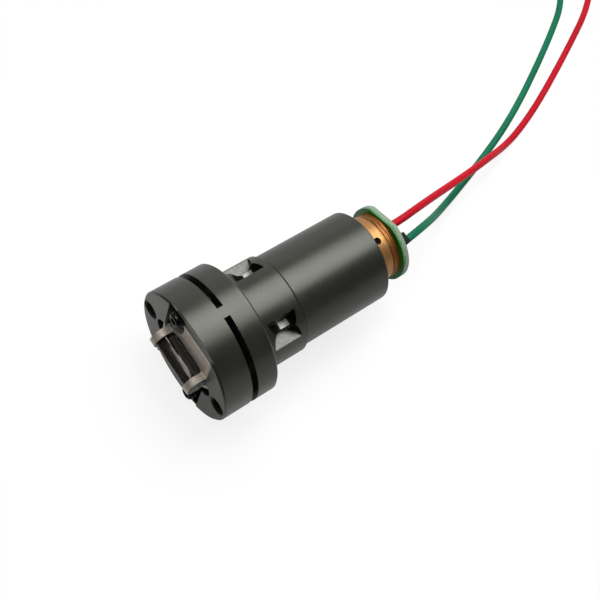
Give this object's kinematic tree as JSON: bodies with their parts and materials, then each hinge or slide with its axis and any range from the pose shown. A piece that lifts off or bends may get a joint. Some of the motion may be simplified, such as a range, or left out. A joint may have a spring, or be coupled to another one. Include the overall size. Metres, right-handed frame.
{
  "type": "laser diode line module",
  "caption": "Cylindrical laser diode module with a flexure steering head, a rod lens that spreads the beam into a line, a brass laser insert and loose leads.",
  "frame": {"origin": "middle of the 12 mm barrel, on the optical axis", "axes": "+Y along the optical axis from the light-emitting face to the leads, so the light leaves towards -Y; +X along the rod lens; +Z from the axis towards one of the two flexure webs"},
  "size_m": [0.0464, 0.1053, 0.0166],
  "materials": {
    "anodised": "satin, dark grey anodised",
    "black_steel": "black oxide alloy steel",
    "seat_metal": "bare sintered metal, dull brownish grey",
    "dark_glass": "polished optical glass that looks dark",
    "clear_glue": "clear cured adhesive",
    "brass": "turned brass",
    "clear_glass": "coated optical glass",
    "spring_steel": "drawn spring wire",
    "gold_plate": "gold-plated steel",
    "nickel_plate": "nickel-plated steel",
    "board_green": "green solder resist on glass laminate",
    "chip_black": "moulded black package",
    "capacitor_tan": "ceramic body",
    "solder": "tinned, softly shining",
    "red_insulation": "smooth insulation",
    "green_insulation": "smooth insulation"
  },
  "bodies": {
    "root": {"flexure_head": "anodised", "barrel": "anodised", "adjusting_screws": "black_steel", "locking_screws": "black_steel", "housing_screw": "black_steel", "lens_seat": "seat_metal", "rod_lens": "dark_glass", "seat_glue": "clear_glue", "laser_housing": "brass", "lens_cell": "brass", "collimating_lens": "clear_glass", "cell_spring": "spring_steel", "diode_base": "gold_plate", "diode_cap": "nickel_plate", "diode_window": "clear_glass", "diode_leads": "gold_plate", "circuit_board": "board_green", "driver_chip": "chip_black", "sense_resistor": "chip_black", "filter_capacitor": "capacitor_tan", "lead_solder": "solder", "wire_solder": "solder", "red_wire": "red_insulation", "green_wire": "green_insulation", "red_wire_tip": "solder", "green_wire_tip": "solder"}
  },
  "joints": []
}
